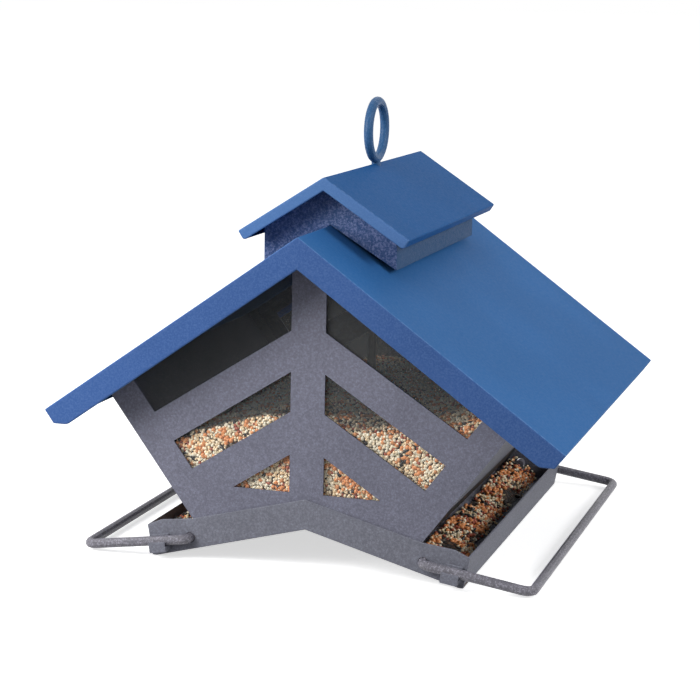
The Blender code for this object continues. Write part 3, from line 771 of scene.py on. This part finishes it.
def maths(tree, operation, a, b):
    """A Math node on a socket and a socket or number."""
    node = tree.nodes.new("ShaderNodeMath")
    node.operation = operation
    tree.links.new(a, node.inputs[0])
    if isinstance(b, (int, float)):
        node.inputs[1].default_value = b
    else:
        tree.links.new(b, node.inputs[1])
    return node.outputs[0]


def spread(tree, share, low, high):
    """From low to high as the share goes from 0 to 1."""
    node = tree.nodes.new("ShaderNodeMapRange")
    tree.links.new(share, node.inputs["Value"])
    node.inputs["To Min"].default_value = low
    node.inputs["To Max"].default_value = high
    return node.outputs["Result"]


def seen_share(tree):
    """1 for rays that look at things: from the camera, mirrored or refracted."""
    path = tree.nodes.new("ShaderNodeLightPath")
    share = path.outputs["Is Camera Ray"]
    for kind in ("Is Glossy Ray", "Is Transmission Ray"):
        share = maths(tree, "MAXIMUM", share, path.outputs[kind])
    return share


def backdrop_share(tree):
    """1 for those rays unless they cross both panes: they see the white background."""
    path = tree.nodes.new("ShaderNodeLightPath")
    clear = maths(tree, "LESS_THAN", path.outputs["Transparent Depth"], PANE_FACES + 1)
    return maths(tree, "MULTIPLY", seen_share(tree), clear)


def sky_level(tree):
    """The world's strength: white where it is seen, dim through both panes as painted shade for
    the hopper's inside, soft as light.
    """
    light = spread(tree, seen_share(tree), SKY_LIGHT, PAINTED_SHADE_THROUGH_PANES)
    return maths(tree, "MAXIMUM", light, backdrop_share(tree))


def floor_tone(tree):
    """The floor's colour: pale where seen, dim through both panes as painted shade for the
    hopper's inside, mid grey for bounced light.
    """
    seen = spread(tree, backdrop_share(tree), PAINTED_SHADE_THROUGH_PANES, FLOOR_TONE)
    tone = tree.nodes.new("ShaderNodeMix")
    tree.links.new(seen_share(tree), tone.inputs["Factor"])
    tone.inputs["A"].default_value = FLOOR_BOUNCE
    tree.links.new(seen, tone.inputs["B"])
    return tone.outputs["Result"]


def floor_material():
    """A matt floor that glows where it is seen, so that only the object's shadow shows on it."""
    material = bpy.data.materials.new("pale_floor")
    material.use_nodes = True
    tree = material.node_tree
    tree.nodes.remove(tree.nodes["Principled BSDF"])
    shade = tree.nodes.new("ShaderNodeBsdfDiffuse")
    tree.links.new(floor_tone(tree), shade.inputs["Color"])
    glow = tree.nodes.new("ShaderNodeEmission")
    glow.inputs["Color"].default_value = (1, 1, 1, 1)
    level = maths(tree, "MULTIPLY", backdrop_share(tree), FLOOR_GLOW)
    tree.links.new(level, glow.inputs["Strength"])
    both = tree.nodes.new("ShaderNodeAddShader")
    tree.links.new(shade.outputs[0], both.inputs[0])
    tree.links.new(glow.outputs[0], both.inputs[1])
    tree.links.new(both.outputs[0], tree.nodes["Material Output"].inputs["Surface"])
    return material


def set_stage():
    """The floor and the sky."""
    mesh = bpy.data.meshes.new("floor")
    reach = FLOOR_REACH
    corners = [(-reach, -reach, 0), (reach, -reach, 0), (reach, reach, 0), (-reach, reach, 0)]
    mesh.from_pydata(corners, [], [(0, 1, 2, 3)])
    mesh.materials.append(floor_material())
    floor = bpy.data.objects.new("floor", mesh)
    bpy.context.scene.collection.objects.link(floor)
    floor.location.z = -FLOOR_DROP
    world = bpy.data.worlds.new("studio")
    bpy.context.scene.world = world
    world.use_nodes = True
    tree = world.node_tree
    background = tree.nodes["Background"]
    background.inputs["Color"].default_value = (1, 1, 1, 1)
    tree.links.new(sky_level(tree), background.inputs["Strength"])


def set_lamps():
    """Square lamps, all turned to the same aim."""
    for name, (place, size, share) in LAMPS.items():
        data = bpy.data.lights.new(name, "AREA")
        data.size = size
        reach = (Vector(place) - Vector(LAMP_AIM)).length
        data.energy = share * math.pi**2 * reach**2
        light = bpy.data.objects.new(name, data)
        bpy.context.scene.collection.objects.link(light)
        light.location = place
        towards = Vector(LAMP_AIM) - Vector(place)
        light.rotation_euler = towards.to_track_quat("-Z", "Y").to_euler()


def main():
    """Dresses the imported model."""
    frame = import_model()
    scene = bpy.context.scene
    scene.view_settings.view_transform = "Standard"
    set_camera()
    set_stage()
    set_lamps()
    coat_nodes(frame["nodes"])
    lay_seed()


main()
